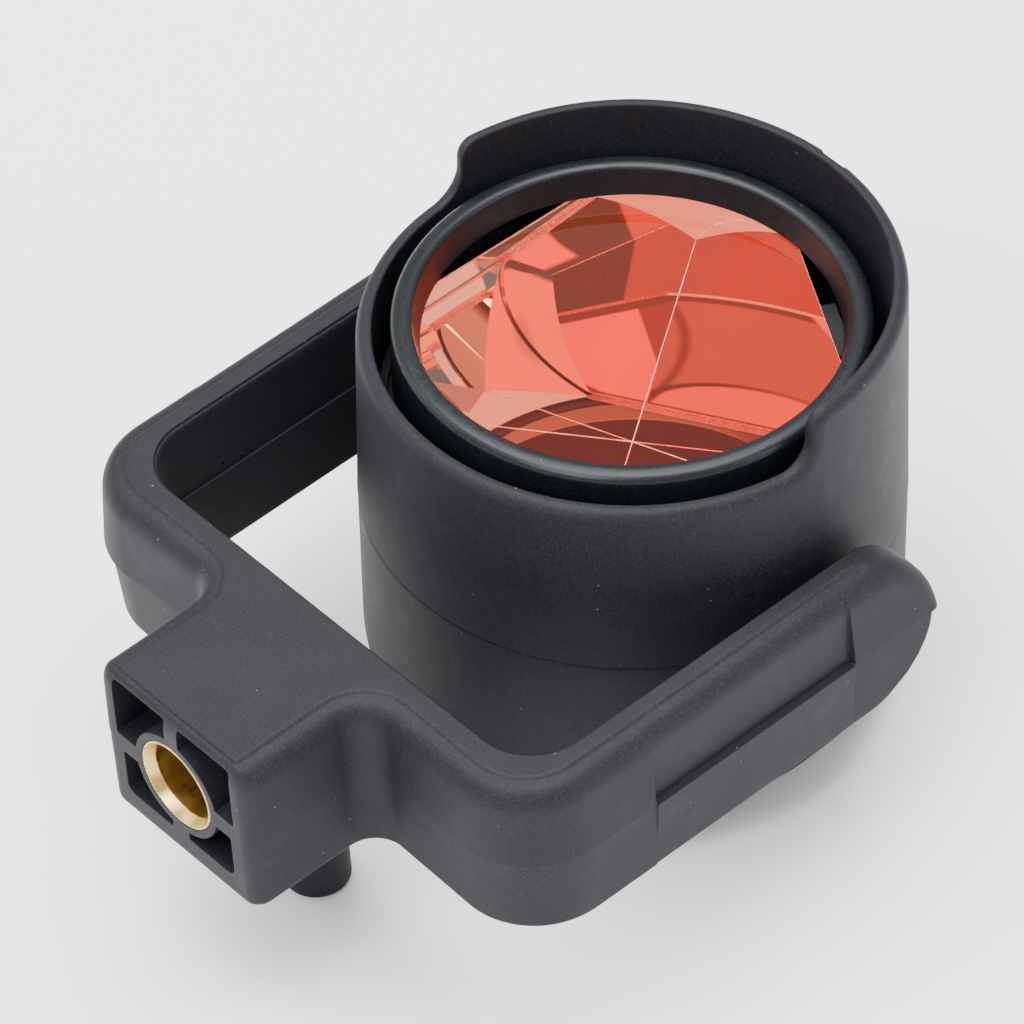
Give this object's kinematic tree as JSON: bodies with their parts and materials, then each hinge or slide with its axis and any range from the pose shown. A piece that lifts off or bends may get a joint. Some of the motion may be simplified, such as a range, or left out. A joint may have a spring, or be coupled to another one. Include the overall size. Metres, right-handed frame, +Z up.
{
  "type": "survey prism",
  "caption": "Single round survey prism in a hooded black housing, tilting in a plastic yoke with a brass pole socket and a push-button latch.",
  "frame": {"origin": "on the ground, under the middle of the bounding box", "axes": "+Z up and, within 3.19 degrees, the way the prism looks, X the tilt axis, -Y towards the pole end of the stem"},
  "size_m": [0.0996, 0.127, 0.0749],
  "materials": {
    "black_plastic": "fine spark-eroded grain, glass-filled nylon",
    "housing_plastic": "fine spark-eroded grain, glass-filled nylon",
    "gloss_plastic": "semi-gloss moulded",
    "brass": "turned, straight-knurled outside",
    "steel": "stainless, as turned or stamped",
    "rubber": "soft moulded",
    "fibre": "vulcanised fibre",
    "prism_glass": "polished crown glass, copper coating on the three back facets"
  },
  "bodies": {
    "yoke": {"yoke": "black_plastic", "socket_bush": "brass", "button_guide": "black_plastic", "latch_spring": "steel", "pivot_insert_left": "brass", "pivot_insert_right": "brass", "pivot_screw_left": "steel", "pivot_screw_right": "steel", "friction_washer_left": "fibre", "friction_washer_right": "fibre", "spring_washer_left": "steel", "spring_washer_right": "steel"},
    "prism_unit": {"housing": "housing_plastic", "back_cover": "housing_plastic", "prism_can": "gloss_plastic", "snap_ring": "steel", "front_ring": "gloss_plastic", "front_seal": "rubber", "prism": "prism_glass", "prism_pad_1": "rubber", "prism_pad_2": "rubber", "prism_pad_3": "rubber"},
    "latch": {"release_button": "black_plastic", "latch_plate": "steel", "latch_pin": "steel"}
  },
  "joints": [
    {"name": "tilt", "type": "hinge", "parent": "yoke", "child": "prism_unit", "pos_m": [0, 0.0225, 0.03655], "axis": [1, 0, 0], "continuous": true},
    {"name": "release", "type": "slide", "parent": "yoke", "child": "latch", "axis": [0, 0, 1], "range_m": [0, 0.0016], "stiffness_N_per_m": 300, "springref_m": -0.003, "deforming": ["latch_spring"]}
  ]
}
